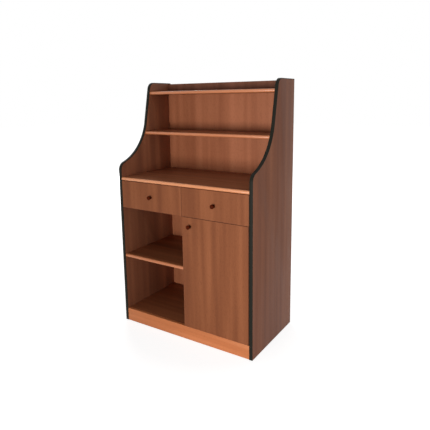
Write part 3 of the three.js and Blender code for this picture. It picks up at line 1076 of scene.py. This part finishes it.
@dataclass(frozen=True)
class Drawer:
    """A drawer: a laminated front with a knob, a melamine box and its runners' rolled channels."""

    name: str
    side_ease: Ease = Ease(0.4)
    board_ease: Ease = Ease(0.5, steps=3)
    channel_ease: Ease = Ease(0.35)
    sheet_mm: float = 1.2
    screw_ys_mm: tuple[float, ...] = (25.0, 165.0, 320.0)

    def build(self, frame: Frame, screw: Piece) -> None:
        """Build the front, the box, the knob, the channels and the screws.

        Args:
            frame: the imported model.
            screw: the screw head that is copied.
        """
        front = f"{self.name}_front"
        knob = Knob(f"{self.name}_knob")
        Board(front, Grain.ALONG_Z, AROUND).build(frame)
        for hand in HANDS:
            frame.dress(f"{self.name}_side_{hand}", MELAMINE, self.side_ease, Grain.ALONG_Y)
        for part, grain in (("back", Grain.ALONG_X), ("floor", Grain.ALONG_Y)):
            board = Board(
                f"{self.name}_{part}", grain, finish=MELAMINE, strip=MELAMINE, ease=self.board_ease)
            board.build(frame)
        knob.build(frame)
        for part in ("outer", "middle", "inner"):
            for hand in HANDS:
                frame.dress(f"{self.name}_runner_{part}_{hand}", ZINC, self.channel_ease)
        places = [*self.channel_screws(), knob.screw_place(front)]
        frame.fasten(f"{self.name}_screws", screw, places, self.name)

    def channel_screws(self) -> list[Matrix]:
        """Find where screws hold the inner channels to the box.

        Returns:
            A place for each screw.
        """
        sheet = self.sheet_mm * MM
        places = []
        for hand, face in zip(HANDS, (Face.LEFT, Face.RIGHT)):
            low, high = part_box(f"{self.name}_runner_inner_{hand}")
            web = high.x - sheet if face is Face.LEFT else low.x + sheet
            for y in self.screw_ys_mm:
                places.append(facing(Vector((web, low.y + y * MM, (low.z + high.z) / 2)), face))
        return places


@dataclass(frozen=True)
class Door:
    """The cupboard door, its knob and its two concealed hinges."""

    hinge_ease: Ease = Ease(0.2, wanted=is_outer, clamped=True)
    recess_clearance_mm: float = 0.3
    recess_sides: int = 40
    wing_screw_mm: float = 23.0
    plate_screw_mm: float = 20.0
    plate_sheet_mm: float = 2.3
    arm_screws_mm: tuple[float, ...] = (10.0, 34.0)
    arm_rise_mm: float = 19.5
    arm_length_mm: float = 42.0

    def build(self, frame: Frame, screw: Piece) -> None:
        """Build the panel, the knob, the hinges and their screws.

        Args:
            frame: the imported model.
            screw: the screw head that is copied.
        """
        knob = Knob("door_knob")
        self.panel(frame)
        knob.build(frame)
        door_places = [knob.screw_place("door_panel")]
        carcass_places = []
        for end in HINGE_ENDS:
            for part in ("cup", "arm", "plate", "link"):
                frame.dress(f"hinge_{part}_{end}", ZINC, self.hinge_ease)
            on_door, on_carcass = self.hinge_screws(end)
            door_places += on_door
            carcass_places += on_carcass
        frame.fasten("door_screws", screw, door_places, "door")
        frame.fasten("hinge_screws", screw, carcass_places, "carcass")

    def panel(self, frame: Frame) -> None:
        """Shape the door and sink a round recess for each hinge cup.

        Args:
            frame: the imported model.
        """
        board = Board("door_panel", Grain.ALONG_Z, AROUND)
        piece = board.shape()
        clearance = self.recess_clearance_mm * MM
        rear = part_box("door_panel")[1].y
        for end in HINGE_ENDS:
            low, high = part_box(f"hinge_cup_{end}")
            radius = (high.x - low.x) / 2 + clearance
            # Twice as long as the recess is deep, so that the cutter stands out behind the door.
            length = 2 * (rear - low.y + clearance)
            outline = [(0, 0), (radius, 0), (radius, length), (0, length)]
            cutter = turn("recess", outline, self.recess_sides)
            foot = Face.FRONT.inside(low, high, -clearance)
            carve(piece, place_at(cutter, facing(foot, Face.REAR)))
        board.dress(piece, frame)

    def hinge_screws(self, end: str) -> tuple[list[Matrix], list[Matrix]]:
        """Find where the screws of one hinge stand.

        Args:
            end: the hinge's end of the door.

        Returns:
            The places on the cup's wings, and those on the plate's wings and along the arm.
        """
        cup = Face.REAR.inside(*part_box(f"hinge_cup_{end}"), 0)
        plate = Face.RIGHT.inside(*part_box(f"hinge_plate_{end}"), self.plate_sheet_mm * MM)
        arm = Face.REAR.inside(*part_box(f"hinge_arm_{end}"), self.arm_length_mm * MM)
        arm.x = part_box("side_panel_right")[0].x - self.arm_rise_mm * MM
        on_door = []
        on_carcass = []
        for sign in (-1, 1):
            on_door.append(facing(cup + Vector((0, 0, sign * self.wing_screw_mm * MM)), Face.REAR))
            on_carcass.append(facing(plate + Vector((0, 0, sign * self.plate_screw_mm * MM)), Face.LEFT))
        for y in self.arm_screws_mm:
            on_carcass.append(facing(arm + Vector((0, y * MM, 0)), Face.LEFT))
        return on_door, on_carcass


@dataclass(frozen=True)
class SmallParts:
    """Glides under the sides, pins under the loose shelves and screws through the back."""

    glide_round_mm: float = 1.0
    glide_round_share: float = 0.3
    glide_sides: int = 32
    back_screw_shares: tuple[float, ...] = (0.07, 0.36, 0.64, 0.93)
    screwed: tuple[str, ...] = ("bottom_panel", "drawer_deck", "worktop", "middle_shelf", "top_shelf")
    pin: ShelfPin = ShelfPin()

    def build(self, frame: Frame, screw: Piece) -> None:
        """Build the glides, the pins and the screws of the back.

        Args:
            frame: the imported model.
            screw: the screw head that is copied.
        """
        for end in ("front", "rear"):
            for hand in HANDS:
                self.glide(frame, f"glide_{end}_{hand}")
        pin = self.pin.template()
        frame.fasten("shelf_pins", pin, self.pin_places(), "carcass")
        bpy.data.objects.remove(pin)
        frame.fasten("back_screws", screw, self.back_screws(), "carcass")

    def glide(self, frame: Frame, node: str) -> None:
        """Turn a nailed-on glide with a rounded foot.

        Args:
            frame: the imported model.
            node: the glide's node.
        """
        low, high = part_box(node)
        radius = (high.x - low.x) / 2
        height = high.z - low.z
        ease = self.glide_round_mm * MM
        bulge = ease * self.glide_round_share
        piece = turn(f"{node}_disc", [
            (0, 0), (radius - ease, 0), (radius - bulge, bulge), (radius, ease),
            (radius, height), (0, height),
        ], self.glide_sides)
        place_at(piece, Matrix.Translation(Face.FOOT.inside(low, high, 0)))
        piece.data.materials.append(GLIDE_PLASTIC.material())
        frame.seat(smooth(piece), node)

    def pin_places(self) -> list[Matrix]:
        """Find where the pins stand, between the sides and the partition.

        Returns:
            A place for each pin.
        """
        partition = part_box("partition")
        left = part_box("side_panel_left")[1].x
        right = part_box("side_panel_right")[0].x
        return [
            *self.pin.places("niche_shelf", left, partition[0].x),
            *self.pin.places("cupboard_shelf", partition[1].x, right),
        ]

    def back_screws(self) -> list[Matrix]:
        """Find where screws go through the back into the boards.

        Returns:
            A place for each screw, board by board.
        """
        low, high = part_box("back_panel")
        places = []
        for board in self.screwed:
            foot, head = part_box(board)
            for share in self.back_screw_shares:
                point = Vector((low.x + (high.x - low.x) * share, high.y, (foot.z + head.z) / 2))
                places.append(facing(point, Face.REAR))
        return places


@dataclass(frozen=True)
class Lamp:
    """A broad soft box of light that faces the station. Places and sizes are in metres."""

    name: str
    place: tuple[float, float, float]
    size: tuple[float, float]
    watts: float
    target: tuple[float, float, float] = (0.0, 0.0, 0.75)
    spread_deg: float = 180.0

    def build(self) -> None:
        """Hang the lamp and turn it to its target."""
        light = bpy.data.lights.new(self.name, "AREA")
        light.shape = "RECTANGLE"
        light.size, light.size_y = self.size
        light.energy = self.watts
        light.spread = math.radians(self.spread_deg)
        holder = bpy.data.objects.new(self.name, light)
        bpy.context.scene.collection.objects.link(holder)
        holder.location = self.place
        turned = Vector(self.place) - Vector(self.target)
        holder.rotation_euler = turned.to_track_quat("Z", "Y").to_euler()


@dataclass(frozen=True)
class Studio:
    """A white floor, a low lamp in front, a higher one behind, a dim fill and the camera.

    The front lamp stands lower than the shelves, so that each shelf shades the foot of the back above it.
    """

    eye_mm: tuple[float, float, float] = (1438.3, -2118.8, 1333.3)
    yaw_deg: float = 32.72
    pitch_deg: float = 10.18
    roll_deg: float = -0.72
    focal_px: float = 451.6
    shift: float = -0.08
    sensor_mm: float = 36.0
    lamps: tuple[Lamp, ...] = (
        Lamp("front_lamp", (1.2, -4.8, 0.55), (3.0, 1.1), watts=44.5, target=(1.7, 0.0, 0.75),
             spread_deg=80.0),
        Lamp("rear_lamp", (-4.2, 4.2, 1.6), (2.4, 2.4), watts=220.0),
    )
    fill: float = 0.28
    floor_m: float = 40.0
    floor_paint: float = 0.8
    floor_glow: float = 0.84
    floor_share: float = 0.42
    shadow_reach_m: tuple[float, float] = (0.45, 0.85)

    def build(self) -> None:
        """Set up the floor, the light and the camera."""
        bpy.context.scene.view_settings.view_transform = "Standard"
        self.world()
        self.floor()
        for lamp in self.lamps:
            lamp.build()
        self.camera()

    def seen(self, tree: Tree) -> Socket:
        """Tell whether a surface is seen, straight, in a mirror or through glass, or only lights the rest.

        Args:
            tree: the tree that gets the nodes.

        Returns:
            A socket that is one where it is seen and zero elsewhere.
        """
        path = add_node(tree, "ShaderNodeLightPath")
        total = path.outputs["Is Camera Ray"]
        for name in ("Is Glossy Ray", "Is Transmission Ray"):
            total = add_node(tree, "ShaderNodeMath", {0: total, 1: path.outputs[name]},
                             operation="MAXIMUM").outputs[0]
        return total

    def world(self) -> None:
        """Make the world white where it is seen, and a dim even fill where it lights the station."""
        world = bpy.data.worlds.new("white_studio")
        bpy.context.scene.world = world
        world.use_nodes = True
        tree = world.node_tree
        tree.nodes.clear()
        strength = add_node(tree, "ShaderNodeMapRange", {"Value": self.seen(tree), "To Min": self.fill})
        white = add_node(tree, "ShaderNodeBackground", {"Color": grey(1.0), "Strength": strength.outputs[0]})
        add_node(tree, "ShaderNodeOutputWorld", {"Surface": white.outputs[0]})

    def floor(self) -> None:
        """Lay a white floor that glows where it is seen, and takes a faint shadow round the foot: the cast
        shadow is real, and the glow is dimmed round the foot as painted shade so that it shows.
        """
        bpy.ops.object.select_all(action="DESELECT")
        bpy.ops.mesh.primitive_plane_add(size=self.floor_m, location=(0, 0, 0))
        floor = bpy.context.object
        floor.name = "studio_floor"
        made = bpy.data.materials.new("white_floor")
        made.use_nodes = True
        tree = made.node_tree
        tree.nodes.clear()
        place = add_node(tree, "ShaderNodeTexCoord").outputs["Object"]
        # The glow is dimmed within the near reach and full beyond the far one: painted shade round the foot,
        # under the real shadow.
        away = add_node(tree, "ShaderNodeVectorMath", {0: place}, operation="LENGTH").outputs["Value"]
        near, far = self.shadow_reach_m
        strength = add_node(tree, "ShaderNodeMapRange", {
            "Value": away, "From Min": near, "From Max": far, "To Min": self.floor_glow}).outputs[0]
        glow = add_node(tree, "ShaderNodeEmission", {"Strength": strength})
        paint = add_node(tree, "ShaderNodeBsdfDiffuse", {"Color": grey(self.floor_paint)})
        faint = add_node(tree, "ShaderNodeBsdfDiffuse", {"Color": grey(self.floor_share)})
        both = add_node(tree, "ShaderNodeAddShader", {0: glow.outputs[0], 1: faint.outputs[0]})
        mixed = add_node(tree, "ShaderNodeMixShader", {
            0: self.seen(tree), 1: paint.outputs[0], 2: both.outputs[0]})
        add_node(tree, "ShaderNodeOutputMaterial", {"Surface": mixed.outputs[0]})
        floor.data.materials.append(made)

    def camera(self) -> None:
        """Set up the photograph's eye: in front, to the right and a little under the top shelf."""
        data = bpy.data.cameras.new("eye")
        data.sensor_width = self.sensor_mm
        data.lens = self.focal_px / IMAGE_SIDE * self.sensor_mm
        data.shift_y = self.shift
        camera = bpy.data.objects.new("eye", data)
        bpy.context.scene.collection.objects.link(camera)
        yaw = Matrix.Rotation(math.radians(self.yaw_deg), 4, "Z")
        tilt = Matrix.Rotation(math.radians(90 - self.pitch_deg), 4, "X")
        roll = Matrix.Rotation(math.radians(self.roll_deg), 4, "Z")
        camera.matrix_world = Matrix.Translation(Vector(self.eye_mm) * MM) @ yaw @ tilt @ roll
        bpy.context.scene.camera = camera


def main() -> None:
    """Dress the station and set up the studio."""
    logging.basicConfig(level=logging.INFO, format="%(message)s")
    frame = Frame()
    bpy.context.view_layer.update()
    screw = Screw().template()
    Sides().build(frame)
    Carcass().build(frame)
    for name in ("drawer_left", "drawer_right"):
        Drawer(name).build(frame, screw)
    Door().build(frame, screw)
    SmallParts().build(frame, screw)
    bpy.data.objects.remove(screw)
    Studio().build()


if __name__ == "__main__":
    main()
